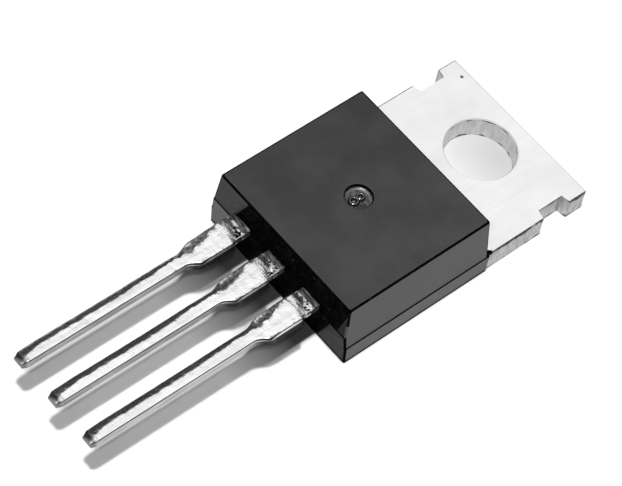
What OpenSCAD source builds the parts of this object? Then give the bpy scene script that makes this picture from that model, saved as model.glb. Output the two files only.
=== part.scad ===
// Three-lead voltage regulator in a flat moulded package with a metal mounting tab.
// X runs across the leads, +Y towards the end of the tab, +Z out of the front face.
// The origin is the centre of the tab's hole, on the flat back face.

/* [Moulded body] */
// Width of the body across the leads, at the parting line of its sides
body_w = 10.0; // [9.4:0.1:12]
// Length of the body along the leads, between its two parting lines
body_l = 9.2; // [7.6:0.05:11]
// Thickness from the back face to the front face
body_t = 4.2; // [3.5:0.05:5.1]
// Distance from the hole's centre to the body
hole_to_body = 4.0; // [3.3:0.05:5]
// Draft of the sides above the parting line, in degrees
side_draft = 5.1; // [2:0.1:7]
// Draft of the face above the tab, in degrees
tab_face_draft = 5.9; // [2:0.1:8]
// Draft of the lead end above its parting line, in degrees
end_draft = 1.0; // [0.5:0.1:6]
// Draft of the lead end below its parting line, in degrees
end_under_draft = 6.0; // [0.5:0.1:7]
// Step where the upper mould half meets the lower one
parting_step = 0.04; // [0.02:0.01:0.12]
// How far the lower half of the body reaches past the upper half, beside the header
lower_reach = 0.15; // [0:0.05:0.4]

/* [Ejector dish] */
// Diameter of the round dish that the mould's ejector pin leaves in the front face
dish_d = 1.42; // [0.8:0.02:2.4]
// Depth of the dish
dish_depth = 0.22; // [0.05:0.01:0.35]
// Distance from the body's middle to the dish, towards the tab
dish_offset = 0.05; // [-1.5:0.05:1.5]

/* [Header: tab, die pad and middle lead in one stamping] */
// Thickness of the tab and of the die pad
tab_t = 1.3; // [1.0:0.05:1.6]
// Width of the tab
tab_w = 9.85; // [8.6:0.05:12]
// Distance from the hole's centre to the end of the tab
hole_to_end = 2.7; // [2.5:0.05:3.6]
// Diameter of the mounting hole
hole_d = 3.7; // [3:0.05:4.5]
// Radius of the tab's corners
tab_corner_r = 0.15; // [0.05:0.05:0.4]
// Radius of the rolled front edges that blanking leaves round the tab
edge_roll = 0.12; // [0.05:0.01:0.25]
// Bevel of the mounting hole's front edge
hole_bevel = 0.05; // [0.02:0.01:0.12]
// Depth of the notch in each side of the tab
notch_depth = 0.54; // [0.3:0.02:0.7]
// Length of the notch at its root
notch_l = 1.56; // [1.0:0.02:2.0]
// How far each end of the notch leans outwards
notch_flare = 0.12; // [0:0.02:0.3]
// Length of the lug between the notch and the end of the tab
lug_l = 1.13; // [0.8:0.02:1.5]
// Moulding compound beside the die pad
pad_side_wall = 0.75; // [0.6:0.05:1.2]
// Moulding compound between the die pad and the lead end
pad_end_wall = 1.25; // [1.15:0.05:1.8]
// Height of the undercut along the die pad's sides, which locks it in the compound
lock_h = 0.5; // [0.3:0.05:0.7]
// Depth of that undercut
lock_depth = 0.35; // [0.15:0.05:0.5]
// Depth of the groove across the die pad, just inside the body
groove_depth = 0.3; // [0.1:0.05:0.5]
// Distance from the body's edge to the groove
groove_inset = 0.8; // [0.6:0.05:1.2]

/* [Leads] */
// Distance between the centre lines of neighbouring leads
pitch = 2.54; // [2.1:0.01:3.05]
// Sideways set of the lead row from the middle of the body
lead_row_x = -0.25; // [-0.4:0.05:0.4]
// Thickness of the leads
lead_t = 0.45; // [0.35:0.05:0.6]
// Height of the leads' front face above the back of the part
lead_top_z = 2.6; // [2.4:0.05:2.9]
// Length of the leads outside the body
lead_l = 13.1; // [5:0.05:16]
// Width of each lead next to the body
shoulder_w = 1.25; // [1.0:0.05:1.6]
// Length of that wide stretch outside the body
shoulder_l = 2.8; // [1:0.05:4]
// Length over which a lead narrows
taper_l = 0.6; // [0.3:0.05:1.2]
// Width of the narrow stretch
lead_w = 0.73; // [0.5:0.01:0.95]
// Bevel of the corners at the tip
tip_bevel = 0.12; // [0.05:0.01:0.2]
// Width of the neck that joins the middle lead to the die pad
neck_w = 2.2; // [1.7:0.05:2.6]
// Slope of that neck, in degrees
neck_angle = 60; // [55:1:75]
// Length of each outer lead's bond pad inside the body
bond_pad_l = 1.2; // [0.8:0.05:1.4]
// Gap between the neck and the bond pads
bond_pad_gap = 0.45; // [0.3:0.05:0.6]
// Moulding compound between a bond pad and the side of the body
bond_pad_wall = 0.9; // [0.7:0.05:1.2]
// Moulding compound between a bond pad and the lead end
bond_pad_end_wall = 0.55; // [0.3:0.05:0.8]

/* [Die and bond wires] */
// Width of the silicon die, across the leads
die_w = 2.2; // [1.6:0.1:2.8]
// Length of the die
die_l = 2.6; // [1.8:0.1:3.2]
// Thickness of the die
die_t = 0.28; // [0.2:0.02:0.4]
// Thickness of the solder under the die
solder_t = 0.05; // [0.03:0.01:0.1]
// How far the solder spreads past the die
solder_margin = 0.15; // [0.05:0.05:0.3]
// Distance from the die's edge to a bond on it
bond_inset = 0.35; // [0.3:0.05:0.5]
// Distance between the output wire's bond and the sensing wire's bond on the die
bond_spacing = 0.6; // [0.5:0.05:0.8]
// Diameter of the two wires that carry the load current
power_wire_d = 0.25; // [0.15:0.01:0.3]
// Diameter of the sensing wire and of the ground wire
signal_wire_d = 0.15; // [0.1:0.01:0.2]
// Height of each wire's loop above the straight line between its bonds
wire_loop = 0.5; // [0.4:0.05:0.6]
// Distance from the die to the ground wire's bond on the header
ground_reach = 1.0; // [0.8:0.05:1.3]

/* [Hidden] */

overcut = 1;                // how far a cutter runs past the face it opens

body_tab_y = -hole_to_body;
body_end_y = body_tab_y - body_l;
body_mid_y = (body_tab_y + body_end_y) / 2;
lower_tab_y = body_tab_y + lower_reach;

lead_z = lead_top_z - lead_t;
tip_y = body_end_y - lead_l;
shoulder_y = body_end_y - shoulder_l;
narrow_y = shoulder_y - taper_l;
input_x = lead_row_x - pitch;
output_x = lead_row_x + pitch;

pad_w = body_w - 2 * pad_side_wall;
tab_bite = 0.5;             // length of the die pad that is one with the tab
pad_end_y = body_end_y + pad_end_wall;
neck_bite = 0.5;            // length of the neck that is one with the die pad
neck_flat = 0.1;            // length of the neck between the die pad and its first bend
neck_end = 0.1;             // depth inside the body where the neck has narrowed to the shoulder
neck_foot_y = pad_end_y - neck_flat;
neck_head_y = neck_foot_y - (lead_top_z - tab_t) / tan(neck_angle);
neck_miter = lead_t * tan(neck_angle / 2);

bond_pad_end_y = body_end_y + bond_pad_end_wall;
bond_pad_mid_y = bond_pad_end_y + bond_pad_l / 2;
bond_pad_near = neck_w / 2 + bond_pad_gap;
input_pad_x = [-body_w / 2 + bond_pad_wall, lead_row_x - bond_pad_near];
output_pad_x = [lead_row_x + bond_pad_near, body_w / 2 - bond_pad_wall];

die_z = tab_t + solder_t;
die_top_z = die_z + die_t;
die_bond_x = die_w / 2 - bond_inset;
die_bond_y = body_mid_y - die_l / 2 + bond_inset;

// Half width of the body at height z: the sides stand straight up to the tab's front, and above
// it they are drafted
function half_w(z) =
    z <= tab_t ? body_w / 2 : body_w / 2 - parting_step - (z - tab_t) * tan(side_draft);

// The lead end at height z: it leans in both ways from the parting line under the leads
function end_y(z) =
    z <= lead_z ? body_end_y + (lead_z - z) * tan(end_under_draft)
                : body_end_y + parting_step + (z - lead_z) * tan(end_draft);

// The face above the tab at height z
function tab_face_y(z) = body_tab_y - (z - tab_t) * tan(tab_face_draft);

// ---- Moulded body ----

// The body at every height is a rectangle, so two outlines describe it: this one is seen along
// the leads, with the sides' parting step level with the tab's front
module front_outline() {
    polygon([
        [-half_w(0), 0],
        [half_w(0), 0],
        [half_w(tab_t), tab_t],
        [half_w(tab_t) - parting_step, tab_t],
        [half_w(body_t), body_t],
        [-half_w(body_t), body_t],
        [-half_w(tab_t) + parting_step, tab_t],
        [-half_w(tab_t), tab_t]
    ]);
}

// This one is seen along X, with the lead end's parting step level with the back of the leads
module side_outline() {
    polygon([
        [end_y(0), 0],
        [lower_tab_y, 0],
        [lower_tab_y, tab_t],
        [tab_face_y(tab_t), tab_t],
        [tab_face_y(body_t), body_t],
        [end_y(body_t), body_t],
        [end_y(lead_z) + parting_step, lead_z],
        [end_y(lead_z), lead_z]
    ]);
}

// An outline in Y and Z, stretched along X over the given stretch
module along_x(low_x, high_x) {
    translate([low_x, 0, 0])
        rotate([90, 0, 90])
            linear_extrude(high_x - low_x)
                children();
}

// An outline in X and Z, stretched along Y over the given stretch
module along_y(low_y, high_y) {
    translate([0, high_y, 0])
        rotate([90, 0, 0])
            linear_extrude(high_y - low_y)
                children();
}

module outer_form() {
    intersection() {
        along_y(body_end_y - overcut, lower_tab_y + overcut) front_outline();
        along_x(-body_w / 2 - overcut, body_w / 2 + overcut) side_outline();
    }
}

module ejector_dish() {
    translate([0, body_mid_y + dish_offset, body_t - dish_depth])
        cylinder(d = dish_d, h = dish_depth + overcut, $fn = 64);
}

module moulded_body() {
    color("#474747")
    difference() {
        outer_form();
        ejector_dish();
        header();
        input_lead();
        output_lead();
        die_attach();
        die();
        input_wire();
        output_wire();
        sense_wire();
        ground_wire();
    }
}

// ---- Leads ----

// One side of a lead from inner_y to its tip, as half widths: shoulder, taper, narrow stretch, bevel
function lead_side(inner_y) = [
    [shoulder_w / 2, inner_y],
    [shoulder_w / 2, shoulder_y],
    [lead_w / 2, narrow_y],
    [lead_w / 2, tip_y + tip_bevel],
    [lead_w / 2 - tip_bevel, tip_y]
];

// The outline that has the given points on its +X side and is mirrored about the line at x
module two_sided(side, x) {
    last = len(side) - 1;
    polygon(concat(
        [for (p = side) [x + p.x, p.y]],
        [for (i = [last:-1:0]) [x - side[i].x, side[i].y]]
    ));
}

// An outer lead: pad_x holds the two sides of its bond pad inside the body
module outer_lead(x, pad_x) {
    translate([0, 0, lead_z])
        union() {
            linear_extrude(lead_t) two_sided(lead_side(bond_pad_mid_y), x);
            translate([pad_x[0], bond_pad_end_y, 0])
                cube([pad_x[1] - pad_x[0], bond_pad_l, lead_t]);
        }
}

module input_lead() {
    color("#c9cbcd") outer_lead(input_x, input_pad_x);
}

module output_lead() {
    color("#c9cbcd") outer_lead(output_x, output_pad_x);
}

// ---- Header ----

// Takes the sharp corner off a plate whose corner stands at the origin, with the plate at -X and -Y
module corner_cutter() {
    translate([-tab_corner_r, -tab_corner_r, -overcut])
        difference() {
            cube([tab_corner_r + overcut, tab_corner_r + overcut, tab_t + 2 * overcut]);
            cylinder(r = tab_corner_r, h = tab_t + 2 * overcut, $fn = 48);
        }
}

// The notch in the +X side of the tab, narrower at its root than at its mouth
module notch_cutter() {
    far_y = hole_to_end - lug_l;
    near_y = far_y - notch_l - 2 * notch_flare;
    slope = notch_flare / notch_depth;
    translate([tab_w / 2, 0, -overcut])
        linear_extrude(tab_t + 2 * overcut)
            polygon([
                [-notch_depth, near_y + notch_flare],
                [-notch_depth, far_y - notch_flare],
                [overcut, far_y + overcut * slope],
                [overcut, near_y - overcut * slope]
            ]);
}

// Rolls a plate's front edge that runs along X, with the plate at -Y and -Z of the edge
module edge_cutter(length) {
    translate([-length / 2, -edge_roll, -edge_roll])
        difference() {
            cube([length, edge_roll + overcut, edge_roll + overcut]);
            translate([-overcut, 0, 0])
                rotate([0, 90, 0])
                    cylinder(r = edge_roll, h = length + 2 * overcut, $fn = 48);
        }
}

// Bevels the front edge of the mounting hole, which stands on the origin
module hole_edge_cutter() {
    translate([0, 0, tab_t - hole_bevel])
        cylinder(r1 = hole_d / 2, r2 = hole_d / 2 + hole_bevel + overcut,
                 h = hole_bevel + overcut, $fn = 96);
}

// The bare tab, with its hole, notches, rounded corners and rolled front edges
module tab() {
    difference() {
        translate([-tab_w / 2, lower_tab_y, 0])
            cube([tab_w, hole_to_end - lower_tab_y, tab_t]);
        translate([0, 0, -overcut])
            cylinder(d = hole_d, h = tab_t + 2 * overcut, $fn = 96);
        for (side = [0, 1])
            mirror([side, 0, 0]) {
                notch_cutter();
                translate([tab_w / 2, hole_to_end, 0]) corner_cutter();
                translate([tab_w / 2, lower_tab_y, 0]) mirror([0, 1, 0]) corner_cutter();
                translate([tab_w / 2, 0, tab_t])
                    rotate([0, 0, -90]) edge_cutter(2 * (body_l + hole_to_body));
            }
        translate([0, hole_to_end, tab_t]) edge_cutter(tab_w + 2 * overcut);
        hole_edge_cutter();
    }
}

// The die pad, undercut along both sides and grooved across the top
module die_pad() {
    foot = pad_w / 2 - lock_depth;
    groove_y = body_tab_y - groove_inset;
    difference() {
        along_y(pad_end_y, lower_tab_y + tab_bite)
            polygon([
                [-foot, 0],
                [foot, 0],
                [foot, lock_h],
                [pad_w / 2, lock_h],
                [pad_w / 2, tab_t],
                [-pad_w / 2, tab_t],
                [-pad_w / 2, lock_h],
                [-foot, lock_h]
            ]);
        along_x(-pad_w / 2 - overcut, pad_w / 2 + overcut)
            polygon([
                [groove_y - groove_depth, tab_t],
                [groove_y, tab_t - groove_depth],
                [groove_y + groove_depth, tab_t]
            ]);
    }
}

// Plan of the middle lead, with its wide neck
module middle_lead_plan() {
    neck = [
        [neck_w / 2, pad_end_y + neck_bite],
        [neck_w / 2, neck_head_y]
    ];
    two_sided(concat(neck, lead_side(body_end_y + neck_end)), lead_row_x);
}

// The middle lead, bent up from the die pad's top to the plane of the other leads
module middle_lead() {
    intersection() {
        along_x(lead_row_x - neck_w, lead_row_x + neck_w)
            polygon([
                [pad_end_y + neck_bite, tab_t - lead_t],
                [neck_foot_y, tab_t - lead_t],
                [neck_head_y, lead_z],
                [tip_y, lead_z],
                [tip_y, lead_top_z],
                [neck_head_y + neck_miter, lead_top_z],
                [neck_foot_y + neck_miter, tab_t],
                [pad_end_y + neck_bite, tab_t]
            ]);
        linear_extrude(body_t) middle_lead_plan();
    }
}

module header() {
    color("#dfe0e1")
    union() {
        tab();
        die_pad();
        middle_lead();
    }
}

// ---- Die and bond wires ----

module die_attach() {
    width = die_w + 2 * solder_margin;
    length = die_l + 2 * solder_margin;
    color("#8f9296")
    translate([-width / 2, body_mid_y - length / 2, tab_t])
        cube([width, length, solder_t]);
}

module die() {
    color("#5b6670")
    translate([-die_w / 2, body_mid_y - die_l / 2, die_z])
        cube([die_w, die_l, die_t]);
}

// The pressed foot of a bond, on the surface at the origin, along X
module bond_foot(wire_d) {
    foot_l = 2.4 * wire_d;
    foot_w = 1.3 * wire_d;
    translate([-foot_l / 2, -foot_w / 2, 0])
        cube([foot_l, foot_w, wire_d]);
}

// A wire that leaves one bonded surface, arches over and lands on another
module bond_wire(start, finish, wire_d) {
    run = norm([finish.x - start.x, finish.y - start.y]);
    rise = finish.z - start.z;
    heading = atan2(finish.y - start.y, finish.x - start.x);
    slope = atan2(rise, run);
    chord = norm([run, rise]);
    arc_r = (chord * chord / 4 + wire_loop * wire_loop) / (2 * wire_loop);
    half_arc = asin(chord / 2 / arc_r);
    color("#d6d7d8")
    translate(start)
        rotate([0, 0, heading]) {
            bond_foot(wire_d);
            translate([run, 0, rise]) bond_foot(wire_d);
            translate([0, 0, wire_d / 2])
                rotate([0, -slope, 0])
                    translate([chord / 2, 0, wire_loop - arc_r])
                        rotate([90, 0, 0])
                            rotate([0, 0, 90 - half_arc])
                                rotate_extrude(angle = 2 * half_arc, $fn = 96)
                                    translate([arc_r, 0])
                                        circle(d = wire_d, $fn = 24);
        }
}

module input_wire() {
    pad_mid_x = (input_pad_x[0] + input_pad_x[1]) / 2;
    bond_wire([-die_bond_x, die_bond_y, die_top_z],
              [pad_mid_x, bond_pad_mid_y, lead_top_z],
              power_wire_d);
}

module output_wire() {
    pad_third_x = output_pad_x[0] + (output_pad_x[1] - output_pad_x[0]) / 3;
    bond_wire([die_bond_x - bond_spacing, die_bond_y, die_top_z],
              [pad_third_x, bond_pad_mid_y, lead_top_z],
              power_wire_d);
}

module sense_wire() {
    pad_far_x = output_pad_x[0] + (output_pad_x[1] - output_pad_x[0]) * 3 / 4;
    bond_wire([die_bond_x, die_bond_y, die_top_z],
              [pad_far_x, bond_pad_mid_y, lead_top_z],
              signal_wire_d);
}

module ground_wire() {
    bond_y = body_mid_y + die_l / 4;
    bond_wire([-die_bond_x, bond_y, die_top_z],
              [-die_w / 2 - ground_reach, bond_y, tab_t],
              signal_wire_d);
}

moulded_body();
header();
input_lead();
output_lead();
die_attach();
die();
input_wire();
output_wire();
sense_wire();
ground_wire();
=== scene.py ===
"""Looks for the three-lead voltage regulator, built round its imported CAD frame.

Metres throughout: X runs across the leads, +Y towards the end of the tab, +Z out of the front face.
"""
import math

import bmesh
import bpy
from mathutils import Matrix, Vector, noise
from mathutils.geometry import delaunay_2d_cdt


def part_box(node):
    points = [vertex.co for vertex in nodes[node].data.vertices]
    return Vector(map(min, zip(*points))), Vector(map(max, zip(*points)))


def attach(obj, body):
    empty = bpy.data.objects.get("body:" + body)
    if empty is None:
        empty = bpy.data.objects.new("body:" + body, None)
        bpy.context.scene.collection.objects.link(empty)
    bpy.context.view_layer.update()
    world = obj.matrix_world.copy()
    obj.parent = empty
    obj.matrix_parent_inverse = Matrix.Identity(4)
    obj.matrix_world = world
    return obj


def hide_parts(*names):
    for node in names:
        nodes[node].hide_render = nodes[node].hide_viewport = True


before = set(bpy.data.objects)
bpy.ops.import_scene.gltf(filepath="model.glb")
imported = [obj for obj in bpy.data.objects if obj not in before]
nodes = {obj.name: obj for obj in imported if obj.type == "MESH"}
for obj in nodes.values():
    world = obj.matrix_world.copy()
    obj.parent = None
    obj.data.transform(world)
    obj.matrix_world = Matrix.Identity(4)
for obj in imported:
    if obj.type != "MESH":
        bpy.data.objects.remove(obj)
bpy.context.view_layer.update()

scene = bpy.context.scene
MM = 0.001

# ---- Header: tab, die pad and middle lead ----
# One stamping of copper strip, thick at the tab and the die pad and thin at the lead, plated with
# matte nickel. The press rolls its front edges over. The lead is bent up out of the die pad and
# its outside length is dipped in solder, which leaves a thick, lumpy skin on the wide shoulder.

body_low, body_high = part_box("moulded_body")
lead_low, lead_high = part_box("input_lead")
TAB_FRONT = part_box("die_attach")[0].z     # the die's solder lies on the front of the strip
BODY_END = body_low.y                     # the lead end of the body, at its parting line
LEAD_JOIN = BODY_END + 0.3 * MM           # where the dipped length takes over, hidden in the body
LEAD_BACK = lead_low.z
LEAD_THICK = lead_high.z - lead_low.z
LEAD_LENGTH = BODY_END - lead_low.y       # of what stands out of the body
SHOULDER_HALF, SHOULDER_LENGTH = 0.625 * MM, 2.8 * MM
NARROW_HALF, TAPER_LENGTH = 0.365 * MM, 0.6 * MM
MIDDLE_X = -0.25 * MM                     # the middle lead stands off the body's middle
PITCH = 2.54 * MM
HOLE_MIDDLE, HOLE_REACH = (0, 0, 0.65), 2.0    # a ball that holds the whole wall of the tab's hole
PIT_PLACE = (-3.89, 2.22, 1.3)            # a small pit near a corner of the tab
NICKEL_DULL, NICKEL_CLEAR = (0.735, 0.735, 0.74), (0.775, 0.775, 0.775)
PIT_TONE, SMUDGE_TONE = 0.12, 0.48
WALL_TONES, SIDE_TONES = (0.64, 0.78), (0.36, 0.56)    # torn copper: in the hole, and outside; a lead's plain sides use the outside tones, partly as painted shade
EDGE_SHADE_TONES = (0.05, 0.14)
TIN_DULL, TIN_CLEAR = (0.8, 0.8, 0.805), (0.92, 0.92, 0.92)
LINE_TONES, SPECK_TONES, GLINT_TONE = (0.06, 0.28), (0.0, 0.14), 0.97    # of a lead's bare start
# Painted shade on the leads: the drained edge's tone, the dark upper tone of the shoulders' sides,
# and the edges' tone.
DRAINED_SHADE_TONE, TIP_TONE, TIP_SIDE_TONE = 0.2, 0.26, 0.22
FOOT_TONES, LEAD_EDGE_SHADE_TONE = (0.03, 0.85), 0.07

# Along a lead, in millimetres from the body: where the solder's foot starts, where it begins to
# drain off the input side and where that ends, where it gathers, and where it thins.
DIPPED, DRAINED, REFILLED, THINNED = (0.9, 1.1), (1.0, 2.8), (2.9, 3.5), (3.6, 4.6)
LUMP, LUMP_REACH = 3.05, 0.5
SKIN_THICK, THIN_SHARE = 0.035, 0.65      # of the skin on a shoulder, and how much of it goes
TIP_LENGTH, TIP_CHAMFER = 0.3, 0.1
ROLLED_EDGE = ((0.1, 0.05), (0.35, 0.26), (0.7, 0.6), (0.9, 0.84), (1.0, 1.1))
HOLLOW_EDGE = ((0.1, 0.2), (0.3, 0.5), (0.78, 1.0), (0.9, 0.97), (1.0, 1.1))
SHARP_ANGLE, FLAT_ANGLE = math.radians(38), math.radians(0.4)


class Finish:
    """A procedural finish: one shader, and nodes that vary it over the surface in millimetres."""

    def __init__(self, name, metallic=0.0, ior=1.5, roughness=0.5):
        self.material = bpy.data.materials.new(name)
        self.material.use_nodes = True
        self.tree = self.material.node_tree
        self.shader = self.tree.nodes["Principled BSDF"]
        self.shader.inputs["Metallic"].default_value = metallic
        self.shader.inputs["IOR"].default_value = ior
        self.shader.inputs["Roughness"].default_value = roughness
        self.place = self.add("ShaderNodeTexCoord").outputs["Object"]

    def add(self, kind, inputs=None, **settings):
        """A node with its settings and inputs, each a value or another node's output."""
        node = self.tree.nodes.new(kind)
        for name, value in settings.items():
            setattr(node, name, value)
        for name, value in (inputs or {}).items():
            if isinstance(value, bpy.types.NodeSocket):
                self.tree.links.new(value, node.inputs[name])
            else:
                node.inputs[name].default_value = value
        return node

    def millimetres(self, stretch=(1, 1, 1)):
        """The place on the part in millimetres, stretched along the axes for streaks."""
        inputs = {"Vector": self.place, "Scale": tuple(s / MM for s in stretch)}
        return self.add("ShaderNodeMapping", inputs).outputs["Vector"]

    def grain(self, per_mm, detail=2.0, stretch=(1, 1, 1)):
        """Cloudy noise round 0.5, with so many clouds in a millimetre."""
        inputs = {"Vector": self.millimetres(stretch), "Scale": per_mm, "Detail": detail}
        return self.add("ShaderNodeTexNoise", inputs).outputs["Fac"]

    def spots(self, per_mm):
        """Distance from the middle of the nearest of many scattered spots."""
        inputs = {"Vector": self.millimetres(), "Scale": per_mm}
        return self.add("ShaderNodeTexVoronoi", inputs).outputs["Distance"]

    def ramp(self, value, low, high, to_low=0.0, to_high=1.0):
        """A value that runs from to_low to to_high as another runs from low to high."""
        inputs = {"Value": value, "From Min": low, "From Max": high}
        inputs.update({"To Min": to_low, "To Max": to_high})
        return self.add("ShaderNodeMapRange", inputs, clamp=True).outputs["Result"]

    def maths(self, operation, *values):
        """The result of one operation of the Math node."""
        inputs = dict(enumerate(values))
        return self.add("ShaderNodeMath", inputs, operation=operation).outputs["Value"]

    def blend(self, share, first, second):
        """A colour between two others, each a grey level, a colour or another node's output."""
        node = self.add("ShaderNodeMix", data_type="RGBA")
        sockets = {s.identifier: s for s in node.inputs}
        self.tree.links.new(share, sockets["Factor_Float"])
        for name, value in (("A_Color", first), ("B_Color", second)):
            if isinstance(value, bpy.types.NodeSocket):
                self.tree.links.new(value, sockets[name])
            else:
                colour = (value, value, value) if isinstance(value, float) else value
                sockets[name].default_value = (*colour, 1)
        return next(s for s in node.outputs if s.identifier == "Result_Color")

    def along(self, axis):
        """One coordinate of the place on the part, in millimetres."""
        split = self.add("ShaderNodeSeparateXYZ", {"Vector": self.millimetres()})
        return split.outputs[axis]

    def facing(self, axis):
        """How far the surface faces along an axis: 1 is straight along it, 0 is sideways."""
        normal = self.add("ShaderNodeNewGeometry").outputs["Normal"]
        return self.add("ShaderNodeSeparateXYZ", {"Vector": normal}).outputs[axis]

    def away_from(self, point):
        """Distance in millimetres from a point."""
        inputs = {0: self.millimetres(), 1: point}
        return self.add("ShaderNodeVectorMath", inputs, operation="DISTANCE").outputs["Value"]

    def drive(self, name, value):
        """Links a node's output to one of the shader's own sockets."""
        self.tree.links.new(value, self.shader.inputs[name])

    def bump(self, height, depth, strength=1.0, under=None):
        """Raises the surface by height times depth, on top of another bump where one is given."""
        inputs = {"Height": height, "Distance": depth, "Strength": strength}
        if under is not None:
            inputs["Normal"] = under
        return self.add("ShaderNodeBump", inputs).outputs["Normal"]


def matte_plating():
    """Dull nickel over rolled copper, with faint rolling streaks and torn, dark-edged sides."""
    plating = Finish("tab_plating", metallic=1.0)
    # The faces: cloudy, with a pit and some smudges.
    streak = plating.grain(5.0, 3.0, stretch=(1, 0.08, 1))
    cloud = plating.ramp(plating.grain(0.45, 3.0), 0.35, 0.65)
    face = plating.blend(cloud, NICKEL_DULL, NICKEL_CLEAR)
    pit = plating.ramp(plating.away_from(PIT_PLACE), 0.06, 0.11)
    smudge = plating.ramp(plating.spots(0.45), 0.03, 0.06)
    face = plating.blend(pit, PIT_TONE, plating.blend(smudge, SMUDGE_TONE, face))
    # The sides: torn by the press, lighter in the hole, with painted shade along the edges of the
    # end faces.
    torn = plating.ramp(plating.grain(6.0, 3.0, stretch=(1, 1, 0.25)), 0.35, 0.65)
    off_hole = plating.away_from(HOLE_MIDDLE)
    off_hole = plating.ramp(off_hole, HOLE_REACH - 0.02, HOLE_REACH + 0.02)
    hole_wall, outer_side = plating.blend(torn, *WALL_TONES), plating.blend(torn, *SIDE_TONES)
    sheared = plating.blend(off_hole, hole_wall, outer_side)
    ragged = plating.ramp(plating.grain(1.6, 3.0), 0.35, 0.65, -0.08, 0.16)
    height = plating.maths("ADD", plating.along("Z"), ragged)
    # Painted shade: dark bands at the top and bottom of the sides, made jagged by noise.
    upper_edge, lower_edge = plating.ramp(height, 1.2, 1.27), plating.ramp(height, 0.12, 0.04)
    edges = plating.maths("MAXIMUM", upper_edge, lower_edge)
    edges = plating.maths("MULTIPLY", edges, plating.ramp(plating.facing("Y"), 0.3, 0.1))
    sheared = plating.blend(edges, sheared, plating.blend(torn, *EDGE_SHADE_TONES))
    # What lies flat is face, and so is the bevel of the hole.
    level = plating.maths("ABSOLUTE", plating.facing("Z"))
    hole_bevel = plating.blend(off_hole, plating.ramp(level, 0.6, 0.68), 0.0)
    flat = plating.maths("MAXIMUM", plating.ramp(level, 0.9, 0.97), hole_bevel)
    plating.drive("Base Color", plating.blend(flat, sheared, face))
    rough = plating.ramp(streak, 0.3, 0.7, 0.5, 0.56)
    plating.drive("Roughness", plating.maths("MULTIPLY_ADD", flat, 0.3, rough))
    fine = plating.bump(plating.grain(16.0, 2.0), 0.004 * MM)
    plating.drive("Normal", plating.bump(streak, 0.004 * MM, under=fine))
    return plating.material


def dipped_tin():
    """Bright solder skin with painted shade along its edges and on its drained edge, bare and
    specked with flux at its start.
    """
    tin = Finish("tinned_lead", metallic=1.0)
    away = tin.maths("SUBTRACT", BODY_END / MM, tin.along("Y"))
    across = tin.maths("SUBTRACT", tin.along("X"), MIDDLE_X / MM)
    across = tin.maths("WRAP", across, PITCH / MM / 2, -PITCH / MM / 2)
    facing = tin.maths("ABSOLUTE", tin.facing("Z"))
    # The bare start: sheared lines next to the body, then dark specks with painted glints, and
    # painted highlights on the rolled edges.
    ragged = tin.maths("ADD", away, tin.ramp(tin.grain(2.6), 0.3, 0.7, -0.14, 0.14))
    ragged = tin.maths("SUBTRACT", ragged, tin.ramp(across, -0.1, 0.6, 0.0, 0.5))
    skin = tin.ramp(ragged, 0.38, 0.42)
    speck = tin.ramp(tin.grain(6.0, 1.0), 0.495, 0.515)
    glint = tin.ramp(tin.grain(5.2, 1.0), 0.545, 0.56)
    lines = tin.ramp(tin.grain(12.0, 3.0, stretch=(0.2, 1, 1)), 0.42, 0.6)
    # Painted highlight: the rolled edges take the glints' bright tone.
    rolled = tin.maths("MULTIPLY", tin.ramp(facing, 0.97, 0.9), tin.ramp(facing, 0.3, 0.5))
    glint = tin.maths("MAXIMUM", glint, rolled)
    bare = tin.blend(glint, tin.blend(speck, *SPECK_TONES), GLINT_TONE)
    bare = tin.blend(tin.ramp(away, 0.24, 0.34), tin.blend(lines, *LINE_TONES), bare)
    # The dipped length: painted shade on the sloped edge where the solder drained away, and duller
    # at the cut tip.
    streak = tin.grain(4.0, 3.0, stretch=(1, 0.12, 1))
    bright = tin.blend(tin.ramp(streak, 0.35, 0.6), TIN_DULL, TIN_CLEAR)
    bright = tin.blend(tin.ramp(away, 12.66, 12.84), bright, TIP_TONE)
    # Painted shade: sloped faces near the body are darkened, broken up by noise.
    drained = tin.maths("MULTIPLY", tin.ramp(facing, 0.99, 0.975), tin.ramp(away, 3.5, 3.1))
    painted_shade = tin.ramp(tin.grain(5.0, 3.0), 0.4, 0.6, 0.1, 0.9)
    bright = tin.blend(tin.maths("MULTIPLY", drained, painted_shade), bright, DRAINED_SHADE_TONE)
    # Its sides: a bright foot of solder under painted shade on the shoulder's sides, and plain grey
    # beyond, partly painted shade.
    foot = tin.maths("SUBTRACT", tin.along("Z"), tin.ramp(away, 2.4, 3.0, 0.0, 0.17))
    foot = tin.ramp(foot, LEAD_BACK / MM + 0.16, LEAD_BACK / MM + 0.2)
    shoulder_side = tin.blend(foot, *FOOT_TONES)
    plain_side = tin.blend(tin.ramp(streak, 0.4, 0.65), *SIDE_TONES)
    side = tin.blend(tin.ramp(away, 3.3, 4.2), shoulder_side, plain_side)
    side = tin.blend(tin.ramp(away, 12.8, 12.95), side, TIP_SIDE_TONE)
    # Painted shade: the rounded edges between the top and the sides are painted near black.
    edge = tin.maths("MULTIPLY", tin.ramp(facing, 0.2, 0.35), tin.ramp(facing, 0.9, 0.8))
    sides = tin.blend(edge, side, LEAD_EDGE_SHADE_TONE)
    dipped = tin.blend(tin.ramp(facing, 0.8, 0.9), sides, bright)
    tin.drive("Base Color", tin.blend(skin, bare, dipped))
    rough = tin.maths("MULTIPLY_ADD", drained, 0.14, tin.ramp(skin, 0.0, 1.0, 0.4, 0.22))
    cut_tip = tin.ramp(away, 12.7, 12.95, 0.0, 0.25)
    tin.drive("Roughness", tin.maths("ADD", rough, cut_tip))
    lumps = tin.bump(tin.grain(2.2, 2.0), 0.03 * MM)
    tin.drive("Normal", tin.bump(tin.grain(11.0, 3.0), 0.012 * MM, under=lumps))
    return tin.material


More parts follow.
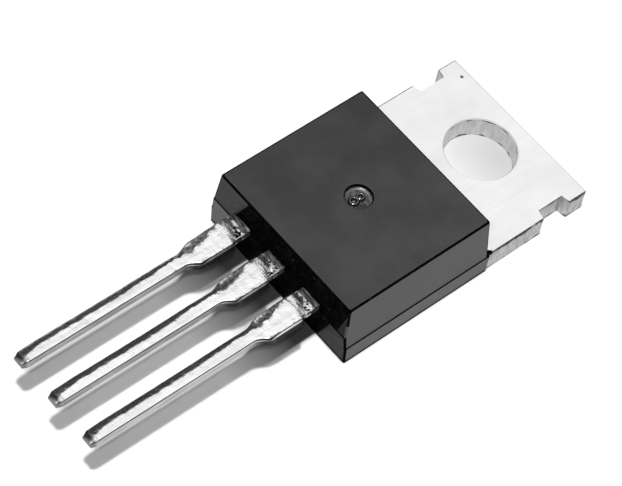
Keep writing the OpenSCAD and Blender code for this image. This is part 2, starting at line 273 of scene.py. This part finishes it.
def new_piece(name, mesh, *materials):
    """A piece of the part that carries the mesh, shaded smooth up to sharp edges."""
    piece = bpy.data.objects.new(name, mesh)
    scene.collection.objects.link(piece)
    for material in materials:
        mesh.materials.append(material)
    shade(piece)
    return piece


def shade(piece):
    """Shades a piece smooth up to its sharp edges, and its flat faces flat."""
    mesh = piece.data
    if "custom_normal" in mesh.attributes:
        mesh.attributes.remove(mesh.attributes["custom_normal"])
    mesh.update()
    mesh.shade_smooth()
    mesh.set_sharp_from_angle(angle=SHARP_ANGLE)
    flat = piece.modifiers.new("flat_faces", "WEIGHTED_NORMAL")
    flat.keep_sharp, flat.weight = True, 100


def merge_flat(mesh):
    """Merges the triangles of each flat face, so that it also shades flat."""
    bmesh.ops.dissolve_limit(
        mesh, angle_limit=FLAT_ANGLE, verts=mesh.verts, edges=mesh.edges, delimit={"MATERIAL"}
    )


def inner_part(node):
    """A copy of a CAD node's mesh as bmesh, cut off where its dipped length takes over."""
    cut = bmesh.new()
    cut.from_mesh(nodes[node].data)
    for face in cut.faces:
        face.material_index = 0
    bmesh.ops.remove_doubles(cut, verts=cut.verts, dist=1e-7)
    every = cut.verts[:] + cut.edges[:] + cut.faces[:]
    bmesh.ops.bisect_plane(
        cut, geom=every, plane_co=(0, LEAD_JOIN, 0), plane_no=(0, -1, 0), clear_outer=True
    )
    rim = [e for e in cut.edges if e.is_boundary]
    bmesh.ops.holes_fill(cut, edges=rim)
    merge_flat(cut)
    return cut


def smooth_step(low, high, value):
    """Rises gently from 0 at low to 1 at high."""
    share = min(max((value - low) / (high - low), 0.0), 1.0)
    return share * share * (3 - 2 * share)


def solder_thickness(across, s):
    """The skin's thickness at a place, s millimetres out: it starts first on the input side."""
    front = 0.35 + 0.5 * smooth_step(-0.1, 0.6, across)
    thinned = 1 - THIN_SHARE * smooth_step(*THINNED, s)
    return SKIN_THICK * smooth_step(front, front + 0.4, s) * thinned


def lead_section(x, out):
    """One cross-section of a dipped lead, as points round it, at a distance out from the body.

    Left is towards the input side, where the solder has drained off the shoulder.
    """
    s, length = out / MM, LEAD_LENGTH / MM
    wander = noise.noise(Vector((x / MM * 3, s * 1.7, 5.0)))
    jitter = noise.noise(Vector((x / MM * 7, s * 6.0, 9.0)))
    # From 0 to 1: how far the lead is narrowed, lumpy, dipped, drained and near its tip here.
    shoulder_end = SHOULDER_LENGTH / MM
    taper = smooth_step(shoulder_end - 0.1, shoulder_end + TAPER_LENGTH / MM + 0.25, s)
    lump = math.exp(-((s - LUMP) / LUMP_REACH) ** 2)
    dipped = smooth_step(*DIPPED, s)
    refilled = smooth_step(*REFILLED, s)
    drained = smooth_step(*DRAINED, s) * (1 - refilled)
    tip = smooth_step(length - TIP_LENGTH, length, s)
    to_tip = smooth_step(length - 1.2, length - 0.15, s)
    # How far the section reaches to each side, and how high.
    half = (SHOULDER_HALF + (NARROW_HALF - SHOULDER_HALF) * taper) / MM - TIP_CHAMFER * tip
    left = half + 0.03 * smooth_step(0.4, 0.6, s) * (1 - taper)
    left += 0.03 * smooth_step(3.5, 5.0, s) + 0.015 * smooth_step(9.0, 12.0, s)
    right = half + dipped * (0.05 + 0.08 * (1 - taper))
    right += 0.12 * lump * smooth_step(2.6, 3.1, s)
    top = LEAD_THICK / MM - TIP_CHAMFER * tip
    # How far each edge's curve runs in from the side, and how far it drops.
    right_run, right_drop = 0.06 + 0.12 * lump, 0.08 + 0.1 * lump
    left_run = 0.1 + 0.42 * drained + 0.05 * wander + 0.05 * jitter + 0.15 * to_tip
    left_run += 0.16 * refilled + 0.12 * smooth_step(4.0, 7.0, s)
    left_run = min(left_run, left + right - right_run - 0.06)
    left_drop = 0.03 + 0.33 * left_run
    flat_left, flat_right = -left + left_run, right - right_run
    foot = dipped * (0.03 + 0.1 * (1 - smooth_step(2.5, 3.0, s)))

    points = [(0.05 - left, 0.0), (0.0, 0.0), (right + foot - 0.03, 0.0), (right + foot, 0.04)]
    points += [(right + 0.3 * foot, 0.17), (right, 0.22)]
    skin = (1 - tip) * solder_thickness(flat_right, s)
    for turn in (0, 20, 40, 60, 80):
        a = math.radians(turn)
        drop = right_drop * (1 - math.sin(a))
        points.append((flat_right + right_run * math.cos(a), top + skin - drop))
    for share in (0.0, 0.15, 0.3, 0.45, 0.6, 0.8, 1.0):
        u = flat_right + (flat_left - flat_right) * share
        skin = (1 - tip) * solder_thickness(u, s)
        bulge = 0.35 * skin * noise.noise(Vector((x / MM * 5 + u * 2.4, s * 2.2, 1.0)))
        points.append((u, top + skin + bulge + 0.006 * jitter))
    for (run, drop), (hollow_run, hollow_drop) in zip(ROLLED_EDGE, HOLLOW_EDGE):
        run += (hollow_run - run) * drained
        drop += (hollow_drop - drop) * drained
        points.append((flat_left - left_run * run, top + skin - left_drop * drop))
    points += [(-left, 0.5 * (top - left_drop)), (-left, 0.05)]
    return [Vector((x + u * MM, BODY_END - out, LEAD_BACK + w * MM)) for u, w in points]


def lead_stations():
    """Distances from the body of a lead's cross-sections, close together where it is lumpy."""
    fine, coarse = 0.05 * MM, 0.12 * MM
    lumpy_end, tip_start = 4.6 * MM, LEAD_LENGTH - 0.5 * MM
    out, stations = BODY_END - LEAD_JOIN, []
    while out < LEAD_LENGTH - 1e-6:
        stations.append(out)
        out += fine if out < lumpy_end or out > tip_start else coarse
    return stations + [LEAD_LENGTH]


def bridge(into, low, high):
    """Joins two loops of vertices with faces, and returns them."""
    pairs = [(i, (i + 1) % len(low)) for i in range(len(low))]
    return [into.faces.new((low[i], low[j], high[j], high[i])) for i, j in pairs]


def add_dipped_lead(into, x, material_index):
    """Adds the outside length of a lead to a bmesh."""
    rings = [[into.verts.new(p) for p in lead_section(x, out)] for out in lead_stations()]
    faces = [into.faces.new(rings[0][::-1]), into.faces.new(rings[-1])]
    for near, far in zip(rings, rings[1:]):
        faces += bridge(into, near, far)
    for face in faces:
        face.material_index = material_index


def stamped_piece(name, node, x, *materials):
    """A stamping with its dipped lead, which stands for the CAD node and rides as it did."""
    stamping = inner_part(node)
    add_dipped_lead(stamping, x, len(materials) - 1)
    bmesh.ops.recalc_face_normals(stamping, faces=stamping.faces)
    mesh = bpy.data.meshes.new(name)
    stamping.to_mesh(mesh)
    stamping.free()
    piece = new_piece(name, mesh, *materials)
    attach(piece, "root")
    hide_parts(node)
    return piece


tin = dipped_tin()
stamped_header = stamped_piece("stamped_header", "header", MIDDLE_X, matte_plating(), tin)

# ---- Outer leads ----
# The input and output leads are cut from the same thin strip as the middle one. Each ends inside
# the body in a broad pad for its bond wires, and only the moulding compound holds it.

for name, node, x in (
    ("dipped_input_lead", "input_lead", MIDDLE_X - PITCH),
    ("dipped_output_lead", "output_lead", MIDDLE_X + PITCH),
):
    stamped_piece(name, node, x, tin)

# ---- Die and its solder ----
# The silicon chip sits on a thin sheet of soft solder on the die pad. Its front is patterned with
# metal and its sides are sawn.


def soft_solder():
    """Dull lead-rich solder with a coarse crystalline surface."""
    solder = Finish("die_solder", metallic=1.0)
    crystals = solder.grain(6.0, 3.0)
    solder.drive("Base Color", solder.blend(solder.ramp(crystals, 0.4, 0.6), 0.38, 0.5))
    solder.drive("Roughness", solder.ramp(crystals, 0.3, 0.7, 0.4, 0.6))
    solder.drive("Normal", solder.bump(crystals, 0.01 * MM))
    return solder.material


def silicon():
    """Polished silicon under a pattern of aluminium tracks."""
    chip = Finish("die_silicon", metallic=0.6, ior=3.4)
    pattern = chip.add("ShaderNodeTexBrick", {"Vector": chip.millimetres(), "Scale": 4.0})
    tracks = pattern.outputs["Fac"]
    chip.drive("Base Color", chip.blend(tracks, (0.2, 0.21, 0.26), (0.6, 0.6, 0.6)))
    chip.drive("Roughness", chip.ramp(chip.grain(12.0), 0.3, 0.7, 0.12, 0.22))
    chip.drive("Normal", chip.bump(tracks, 0.002 * MM))
    return chip.material


def refinish(node, material):
    """Gives a CAD node, which keeps its shape, its one finish."""
    nodes[node].data.materials.clear()
    nodes[node].data.materials.append(material)


refinish("die_attach", soft_solder())
refinish("die", silicon())

# ---- Bond wires ----
# Aluminium wires bridge from the chip to the bond pads and to the header. Each is pressed flat at
# both ends by the bonding tool, and lies buried in the compound.


def drawn_aluminium():
    """Soft drawn wire with faint lines along it."""
    wire = Finish("bond_wire", metallic=1.0)
    lines = wire.grain(20.0, 2.0, stretch=(1, 0.2, 0.2))
    wire.drive("Base Color", wire.blend(wire.ramp(lines, 0.35, 0.65), 0.78, 0.88))
    wire.drive("Roughness", wire.ramp(lines, 0.3, 0.7, 0.25, 0.38))
    wire.drive("Normal", wire.bump(lines, 0.002 * MM))
    return wire.material


wire_finish = drawn_aluminium()
for node in ("input_wire", "output_wire", "sense_wire", "ground_wire"):
    refinish(node, wire_finish)

# ---- Moulded body ----
# Black epoxy compound, moulded round everything above in a two-part tool. The tool leaves a fine
# crack-like line where its halves meet, rounded edges, and a round dish with the cavity's number
# where an ejector pin pushed the part out.
# Painted shade darkens the parting lines, edges, corners, dish lip and the lead end round the
# leads; painted light brightens the output side.

BODY_FRONT, BODY_HALF = body_high.z, body_high.x
TAB_SIDE_LOW = body_high.y                # where the tab leaves the body, below the parting line
TAB_SIDE_HIGH = TAB_SIDE_LOW - 0.15 * MM  # and above it
STEP = 0.04 * MM                          # the upper mould half's offset at the parting line
GROOVE, LINE = 0.05 * MM, 0.025 * MM      # depth and half width of the line between the halves
SIDE_LEAN, TAB_LEAN = math.tan(math.radians(5.1)), math.tan(math.radians(5.9))
END_LEAN, END_UNDER_LEAN = math.tan(math.radians(1.0)), math.tan(math.radians(6.0))
EDGE_ROUND, CORNER_ROUND = 0.09 * MM, 0.1 * MM
BACK_BEVEL, BACK_STRIP = 0.02 * MM, 0.17 * MM    # heights of a bevel and a dull strip at the back
UNSHADED_TOP = 3.05 * MM                     # top of the stretch of the output side's corner that gets no painted shade

# An outline starts with the corner at the output side of the tab and goes round by the input side.
CORNER_POINTS = 6
END_FACES = range(2 * CORNER_POINTS, 4 * CORNER_POINTS + 1)
# The faces of the lead end's input-side, middle and output-side stretches, painted with shade.
INPUT_END_FACE, MIDDLE_END_FACE, OUTPUT_END_FACE = (3 * CORNER_POINTS + i for i in (-1, 0, 1))
LAST_CORNER = range(OUTPUT_END_FACE + 1, END_FACES.stop)

# The order of the moulding's finishes.
SKIN, EDGE_SKIN, END_SHADE, OUTPUT_END_SHADE, INPUT_END_SHADE, PIN_MARK, PIN_EDGE, NUMBER = range(8)

DISH_MIDDLE = Vector((0, -8.55 * MM))
DISH_RADIUS, DISH_DEPTH = 0.71 * MM, 0.22 * MM
DISH_LIP, DISH_FILLET = 0.02 * MM, 0.06 * MM
FLOOR_RUN, FLOOR_RISE = 0.0903 * MM, 0.035 * MM  # a slope at the foot of the dish's wall
SKIN_TONE, PAINTED_SIDE_LIGHT, CLOUD_LIFT, GRIT_LIFT = 0.003, 0.0115, 0.012, 0.006
NUMBER_LOOPS = ((-0.01, -8.83, 0.2, 0.1), (-0.02, -8.4, 0.16, 0.095))   # place, radius, thickness
BEAD_TURNS, BEAD_POINTS, BEAD_STEEP = 36, 24, 1.5
FLASH = ((4.5, -4.1), (4.92, -4.1), (4.92, -3.72), (4.86, -3.6), (4.76, -3.7), (4.62, -3.86))
FLASH_REACH = (1.28, 1.37)                # its underside, just inside the tab, and its top


def end_shade_edges(z):
    """The two ends of the lead end's painted shade at height z, which stands for the shaded floor
    the end reflects. It leans to the output side.
    """
    rise = z - LEAD_BACK
    if rise > 0:
        return -3.45 * MM + 0.41 * rise, 4.28 * MM + 0.24 * rise
    return -3.45 * MM + 0.4 * rise, 3.82 * MM + 0.38 * rise


def mould_ring(z, groove_side=0.0, groove_end=0.0, inset=0.0):
    """The body's outline at height z, as a rectangle with rounded corners."""
    above = z > TAB_FRONT
    over = max(z - TAB_FRONT, 0)
    half = BODY_HALF - (STEP + over * SIDE_LEAN if above else 0) - groove_side - inset
    tab_y = (TAB_SIDE_HIGH - over * TAB_LEAN if above else TAB_SIDE_LOW) - groove_side - inset
    if z > LEAD_BACK:
        end_y = BODY_END + STEP + (z - LEAD_BACK) * END_LEAN
    else:
        end_y = BODY_END + (LEAD_BACK - z) * END_UNDER_LEAN
    end_y += groove_end + inset
    r = CORNER_ROUND
    right, left, upper, lower = half - r, r - half, tab_y - r, end_y + r
    corners = ((right, upper, 0), (left, upper, 90), (left, lower, 180), (right, lower, 270))
    ring = []
    for x, y, start in corners:
        if start == 270:
            ring += [Vector((shade_edge, end_y, z)) for shade_edge in end_shade_edges(z)]
        for i in range(CORNER_POINTS):
            a = math.radians(start + 90 * i / (CORNER_POINTS - 1))
            ring.append(Vector((x + r * math.cos(a), y + r * math.sin(a), z)))
    return ring


def mould_rings():
    """The outlines from the back to the front, with a groove at each parting line."""
    rings = [mould_ring(0, inset=BACK_BEVEL), mould_ring(BACK_BEVEL), mould_ring(BACK_STRIP)]
    for lines, depth in ((-2, 0), (-1, GROOVE), (0.2, GROOVE), (1, 0)):
        rings.append(mould_ring(TAB_FRONT + lines * LINE, groove_side=depth))
    for lines, depth in ((-1, 0), (-0.3, GROOVE), (0.3, GROOVE), (1, 0)):
        rings.append(mould_ring(LEAD_BACK + lines * LINE, groove_end=depth))
    rings.append(mould_ring(UNSHADED_TOP))
    for turn in range(0, 91, 15):
        a = math.radians(turn)
        z = BODY_FRONT - EDGE_ROUND * (1 - math.sin(a))
        rings.append(mould_ring(z, inset=EDGE_ROUND * (1 - math.cos(a))))
    return rings


def circle(middle, radius, z, count=72):
    """The points of a level circle round a place."""
    turns = [2 * math.pi * i / count for i in range(count)]
    x, y = middle
    return [Vector((x + radius * math.cos(a), y + radius * math.sin(a), z)) for a in turns]


def fill_between(into, outer, inner):
    """Fills the flat face between an outer loop of vertices and a hole in it."""
    loops = outer + inner
    n, m = len(outer), len(inner)
    edges = [(i, (i + 1) % n) for i in range(n)] + [(n + i, n + (i + 1) % m) for i in range(m)]
    points = [v.co.xy for v in loops]
    hole_middle = sum((v.co.xy for v in inner), Vector((0, 0))) / m
    hole_reach = min((v.co.xy - hole_middle).length for v in inner)
    for t in delaunay_2d_cdt(points, edges, [], 1, 1e-9)[2]:
        middle = sum((points[i] for i in t), Vector((0, 0))) / 3
        if (middle - hole_middle).length > hole_reach * 0.999:
            into.faces.new([loops[i] for i in t])


def skin_face(i, z, edge):
    """The finish of face i of the band of the body's skin that starts at height z."""
    side_groove = -2.5 * LINE < z - TAB_FRONT < 0.5 * LINE
    end_groove = -1.5 * LINE < z - LEAD_BACK < 0.5 * LINE
    unshaded = LEAD_BACK - 1.5 * LINE < z < UNSHADED_TOP - LINE
    # Painted shade: the lead end's stretches and the body's edges, corners and grooves; the output
    # corner's unshaded stretch keeps the skin.
    if i == MIDDLE_END_FACE and not edge:
        return END_SHADE
    if i == OUTPUT_END_FACE and not edge and not end_groove:
        return OUTPUT_END_SHADE
    if i == INPUT_END_FACE and not edge and not end_groove:
        return INPUT_END_SHADE if z > LEAD_BACK else SKIN
    corner = i < MIDDLE_END_FACE and i % CORNER_POINTS < CORNER_POINTS - 1
    corner = corner or i in LAST_CORNER and not unshaded
    groove = end_groove if i in END_FACES else side_groove
    return EDGE_SKIN if edge or corner or groove else SKIN


def outer_moulding():
    """The body as one closed block, with its dish but none of its hollows."""
    block = bmesh.new()
    rings = [[block.verts.new(p) for p in ring] for ring in mould_rings()]
    for low, high in zip(rings, rings[1:]):
        z = low[0].co.z
        edge = z < 2 * BACK_BEVEL or z > BODY_FRONT - 1.1 * EDGE_ROUND
        for i, face in enumerate(bridge(block, low, high)):
            face.material_index = skin_face(i, z, edge)
    block.faces.new(rings[0][::-1])
    floor = BODY_FRONT - DISH_DEPTH
    dish = [circle(DISH_MIDDLE, DISH_RADIUS + DISH_LIP, BODY_FRONT)]
    dish.append(circle(DISH_MIDDLE, DISH_RADIUS, BODY_FRONT - DISH_LIP))
    for turn in range(0, 91, 15):
        a = math.radians(turn)
        radius = DISH_RADIUS - DISH_LIP - DISH_FILLET * (1 - math.cos(a))
        rise = FLOOR_RISE + DISH_FILLET * (1 - math.sin(a))
        dish.append(circle(DISH_MIDDLE, radius, floor + rise))
    dish.append(circle(DISH_MIDDLE, radius - FLOOR_RUN, floor))
    dish = [[block.verts.new(p) for p in ring] for ring in dish]
    fill_between(block, rings[-1], dish[0])
    # The dish's lip is near black as painted shade.
    finishes = [EDGE_SKIN, EDGE_SKIN] + [PIN_MARK] * (len(dish) - 4) + [PIN_EDGE]
    for finish, low, high in zip(finishes, dish, dish[1:]):
        for face in bridge(block, low, high):
            face.material_index = finish
    block.faces.new(dish[-1]).material_index = PIN_MARK
    merge_flat(block)
    bmesh.ops.recalc_face_normals(block, faces=block.faces)
    return block


def add_ring_bead(into, middle, radius, thickness, z):
    """A raised ring with steep flanks, one loop of the cavity's number."""
    rings = []
    for i in range(BEAD_TURNS):
        a = 2 * math.pi * i / BEAD_TURNS
        axis = Vector((math.cos(a), math.sin(a), 0))
        hub = Vector((middle.x, middle.y, z)) + axis * radius
        ring = []
        for k in range(BEAD_POINTS):
            b = 2 * math.pi * k / BEAD_POINTS
            up = Vector((0, 0, BEAD_STEEP * thickness * math.sin(b)))
            ring.append(into.verts.new(hub + axis * thickness * math.cos(b) + up))
        rings.append(ring)
    for i, ring in enumerate(rings):
        for face in bridge(into, ring, rings[(i + 1) % len(rings)]):
            face.material_index = NUMBER


def add_flash(into):
    """A thin tongue of compound that leaked along the tab's front beside the body."""
    low, high = [[into.verts.new(Vector((x, y, z)) * MM) for x, y in FLASH] for z in FLASH_REACH]
    faces = bridge(into, low, high) + [into.faces.new(high), into.faces.new(low[::-1])]
    for face in faces:
        face.material_index = EDGE_SKIN


def moulding_compound():
    """Filled black epoxy: a satin skin with a faint cloudy sheen, fine grit from the filler, and
    painted light towards the output side.
    """
    compound = Finish("moulding_compound", ior=1.5)
    cloud = compound.ramp(compound.grain(0.5, 3.0), 0.35, 0.65)
    # Painted light: the skin grows lighter towards the output (+X) side.
    across = compound.ramp(compound.along("X"), -BODY_HALF / MM, BODY_HALF / MM)
    tone = compound.maths("MULTIPLY_ADD", across, PAINTED_SIDE_LIGHT, SKIN_TONE)
    tone = compound.maths("MULTIPLY_ADD", cloud, CLOUD_LIFT, tone)
    grit = compound.grain(14.0, 2.0)
    tone = compound.maths("ADD", tone, compound.ramp(grit, 0.35, 0.65, 0.0, GRIT_LIFT))
    compound.drive("Base Color", compound.blend(tone, 0.0, 1.0))
    compound.drive("Roughness", compound.ramp(cloud, 0.0, 1.0, 0.4, 0.46))
    soft = compound.bump(compound.grain(3.5, 2.0), 0.004 * MM)
    compound.drive("Normal", compound.bump(grit, 0.002 * MM, under=soft))
    return compound.material


def dulled_compound(name, ior, dark, light):
    """Near-black compound with little reflection: painted shade at the edges and round the leads,
    and the flash's black.
    """
    dull = Finish(name, ior=ior, roughness=0.5)
    dust = dull.ramp(dull.grain(5.0, 3.0), 0.4, 0.68)
    speck = dull.ramp(dull.spots(1.6), 0.09, 0.05)
    dull.drive("Base Color", dull.blend(speck, dull.blend(dust, dark, light), 0.06))
    dull.drive("Normal", dull.bump(dull.grain(9.0), 0.005 * MM))
    return dull.material


def pin_mark(name, ior, roughness, light, depth):
    """The glossy print of the ground end of the ejector pin, and of the number cut into it."""
    mark = Finish(name, ior=ior, roughness=roughness)
    mottle = mark.grain(7.0, 3.0)
    mark.drive("Base Color", mark.blend(mark.ramp(mottle, 0.4, 0.62), 0.002, light))
    mark.drive("Normal", mark.bump(mottle, depth))
    return mark.material


block = outer_moulding()
mesh = bpy.data.meshes.new("moulding")
block.to_mesh(mesh)
block.free()
moulding = new_piece(
    "moulding", mesh,
    moulding_compound(),
    # The next four finishes are painted shade; the first also colours the flash.
    dulled_compound("edge_skin", 1.03, 0.001, 0.004),
    dulled_compound("painted_shade", 1.03, 0.001, 0.007),
    dulled_compound("output_end_shade", 1.2, 0.004, 0.014),
    dulled_compound("input_end_shade", 1.35, 0.006, 0.014),
    pin_mark("pin_mark", 1.6, 0.17, 0.08, 0.01 * MM),
    pin_mark("pin_edge", 2.0, 0.3, 0.02, 0.003 * MM),
    pin_mark("cavity_number", 2.1, 0.16, 0.004, 0.002 * MM),
)
# The stampings, as they are in the frame, hollow it out.
moulding.modifiers.clear()
stampings = [nodes[name] for name in ("header", "input_lead", "output_lead")]
for stamping in stampings:
    hollow = moulding.modifiers.new(stamping.name, "BOOLEAN")
    hollow.operation, hollow.solver, hollow.object = "DIFFERENCE", "EXACT", stamping
    stamping.hide_viewport = False
bpy.context.view_layer.update()
hollowed = moulding.evaluated_get(bpy.context.evaluated_depsgraph_get())
hollowed = bpy.data.meshes.new_from_object(hollowed)
moulding.modifiers.clear()
for stamping in stampings:
    stamping.hide_viewport = True
moulding.data = hollowed
details = bmesh.new()
details.from_mesh(hollowed)
for x, y, radius, thickness in NUMBER_LOOPS:
    middle = Vector((x * MM, y * MM))
    add_ring_bead(details, middle, radius * MM, thickness * MM, BODY_FRONT - DISH_DEPTH)
add_flash(details)
details.to_mesh(hollowed)
details.free()
shade(moulding)
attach(moulding, "root")
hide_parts("moulded_body")

# ---- Table and light ----
# The part lies on a plain white table under a lamp overhead, a weaker one in front, and a faint
# white sky. Dark cards stand round the table, out of the picture, and draw the dark lines on the
# metal. The table has painted shade in the nooks at the leads, and a grey dot under the hole is
# painted shade for the floor seen through it.

TABLE_REACH, TABLE_DROP = 3.0, 0.01 * MM  # it lies a little below the part's back
TABLE_WHITE, TABLE_LIFT = 0.97, 0.01
DOT_RADIUS, DOT_DROP, DOT_LIGHT, DOT_DARK = 1.9 * MM, 0.004 * MM, 0.83, 0.52
CARD_DISTANCE, CARD_HEIGHT, CARD_TONE = 0.6, 0.55, 0.02
STAGE_POINTS = 48
LAMPS = (("overhead_lamp", 0.75, (0, -0.1, 1)), ("front_lamp", 0.27, (0.3, -0.38, 0.87)))
LAMP_WIDTH = math.radians(5)
SKY_ON_MATT, SKY_SEEN = 0.1, 1.0


def seen_directly(tree):
    """1 for what the camera sees, also by way of metal and glass, and 0 for what only lights."""
    path = tree.nodes.new("ShaderNodeLightPath")
    seen = path.outputs["Is Camera Ray"]
    for ray in ("Is Glossy Ray", "Is Transmission Ray"):
        either = tree.nodes.new("ShaderNodeMath")
        either.operation = "MAXIMUM"
        tree.links.new(seen, either.inputs[0])
        tree.links.new(path.outputs[ray], either.inputs[1])
        seen = either.outputs[0]
    return seen


def white_table():
    """A matt white top that looks pure white where it is lit, with painted shade in the nooks at
    the leads.
    """
    table = Finish("white_table")
    tree = table.tree
    tree.nodes.remove(table.shader)
    from_middle = table.maths("SUBTRACT", table.along("X"), MIDDLE_X / MM)
    across = table.maths("WRAP", from_middle, PITCH / MM / 2, -PITCH / MM / 2)
    away = table.maths("SUBTRACT", BODY_END / MM, table.along("Y"))
    # Painted shade under each lead, as wide as it is, and less so towards its tip.
    half_width = table.ramp(away, 2.7, 3.6, 0.7, 0.48)
    under = table.maths("SUBTRACT", table.maths("ABSOLUTE", across), half_width)
    under = table.ramp(under, 0.12, -0.12)
    under = table.maths("MULTIPLY", under, table.ramp(away, 4.8, 0.9, 0.08, 0.94))
    # More painted shade between the shoulders, and in a narrow stripe at the input side of each
    # lead.
    between = table.ramp(away, 3.4, 2.2, 0.0, 0.4)
    beside = table.maths("ABSOLUTE", table.maths("ADD", across, 0.5))
    beside = table.ramp(beside, 0.32, 0.14, 0.0, 0.2)
    floor_shade = table.maths("MAXIMUM", table.maths("MAXIMUM", under, between), beside)
    # All of it ends at the row's two sides, under the body and near the tips.
    inside = table.ramp(table.maths("ABSOLUTE", from_middle), 3.4, 3.15)
    inside = table.maths("MULTIPLY", inside, table.ramp(away, -0.9, -0.6))
    inside = table.maths("MULTIPLY", inside, table.ramp(away, 12.5, 11.8))
    floor_shade = table.maths("MULTIPLY", inside, floor_shade)
    white = table.add("ShaderNodeBsdfDiffuse", {"Color": table.blend(floor_shade, TABLE_WHITE, 0.0)})
    level = table.maths("MULTIPLY", seen_directly(tree), TABLE_LIFT)
    lift = table.add("ShaderNodeEmission", {"Strength": level})
    both = table.add("ShaderNodeAddShader", {0: white.outputs[0], 1: lift.outputs[0]})
    tree.links.new(both.outputs[0], tree.nodes["Material Output"].inputs["Surface"])
    return table.material


def staged(name, points, faces, material):
    """A piece of the scene that isn't part of the object."""
    mesh = bpy.data.meshes.new(name)
    mesh.from_pydata(points, [], faces)
    mesh.materials.append(material)
    piece = bpy.data.objects.new(name, mesh)
    scene.collection.objects.link(piece)
    return piece


corners = [(-1, -1), (1, -1), (1, 1), (-1, 1)]
table_points = [(x * TABLE_REACH, y * TABLE_REACH, -TABLE_DROP) for x, y in corners]
staged("table", table_points, [(0, 1, 2, 3)], white_table())

# A grey dot under the hole is painted shade for the floor seen through it, darker towards +Y.
hole_shade = Finish("painted_hole_shade", roughness=0.8)
shadow = hole_shade.ramp(hole_shade.along("Y"), -1.5, 1.6)
hole_shade.drive("Base Color", hole_shade.blend(shadow, DOT_LIGHT, DOT_DARK))
dot = circle((0, 0), DOT_RADIUS, -DOT_DROP, STAGE_POINTS)
staged("painted_shade_under_hole", dot, [tuple(range(STAGE_POINTS))], hole_shade.material)

felt = Finish("black_felt", roughness=0.9)
felt.shader.inputs["Base Color"].default_value = (CARD_TONE, CARD_TONE, CARD_TONE, 1)
card_points = circle((0, 0), CARD_DISTANCE, 0, STAGE_POINTS)
card_points += circle((0, 0), CARD_DISTANCE, CARD_HEIGHT, STAGE_POINTS)
pairs = [(i, (i + 1) % STAGE_POINTS) for i in range(STAGE_POINTS)]
card_faces = [(i, j, STAGE_POINTS + j, STAGE_POINTS + i) for i, j in pairs]
cards = staged("cards", card_points, card_faces, felt.material)
cards.visible_camera = False

for name, share, towards in LAMPS:
    lamp = bpy.data.lights.new(name, "SUN")
    lamp.energy = share * math.pi
    lamp.angle = LAMP_WIDTH
    lamp_object = bpy.data.objects.new(name, lamp)
    lamp_object.rotation_mode = "QUATERNION"
    lamp_object.rotation_quaternion = Vector(towards).to_track_quat("Z", "Y")
    scene.collection.objects.link(lamp_object)

world = bpy.data.worlds.new("white_sky")
world.use_nodes = True
sky = world.node_tree
sky.nodes["Background"].inputs["Color"].default_value = (1, 1, 1, 1)
sky_level = sky.nodes.new("ShaderNodeMapRange")
sky_level.inputs["To Min"].default_value = SKY_ON_MATT
sky_level.inputs["To Max"].default_value = SKY_SEEN
sky.links.new(seen_directly(sky), sky_level.inputs["Value"])
sky.links.new(sky_level.outputs["Result"], sky.nodes["Background"].inputs["Strength"])
scene.world = world

# ---- Camera ----
# A long lens looks down on the part from the output side and the lead end, rolled a little. It
# is aimed near the middle of the part, which fills most of the picture.

AIM = Vector((-0.25, -10.92, 2.0)) * MM
DISTANCE = 136.5 * MM
AZIMUTH, ELEVATION, ROLL = math.radians(-51.2), math.radians(54.9), math.radians(13.5)
LENS, SENSOR_WIDTH = 166.9, 36.0
outward = Vector((
    math.cos(AZIMUTH) * math.cos(ELEVATION),
    math.sin(AZIMUTH) * math.cos(ELEVATION),
    math.sin(ELEVATION),
))
camera = bpy.data.cameras.new("camera")
camera.lens, camera.sensor_width = LENS, SENSOR_WIDTH
camera.clip_start, camera.clip_end = 0.01, 10.0
camera_object = bpy.data.objects.new("camera", camera)
scene.collection.objects.link(camera_object)
camera_object.rotation_mode = "QUATERNION"
camera_object.location = AIM + outward * DISTANCE
level_view = (-outward).to_track_quat("-Z", "Y").to_matrix()
camera_object.rotation_quaternion = (level_view @ Matrix.Rotation(ROLL, 3, "Z")).to_quaternion()
scene.camera = camera_object
scene.view_settings.view_transform = "Standard"
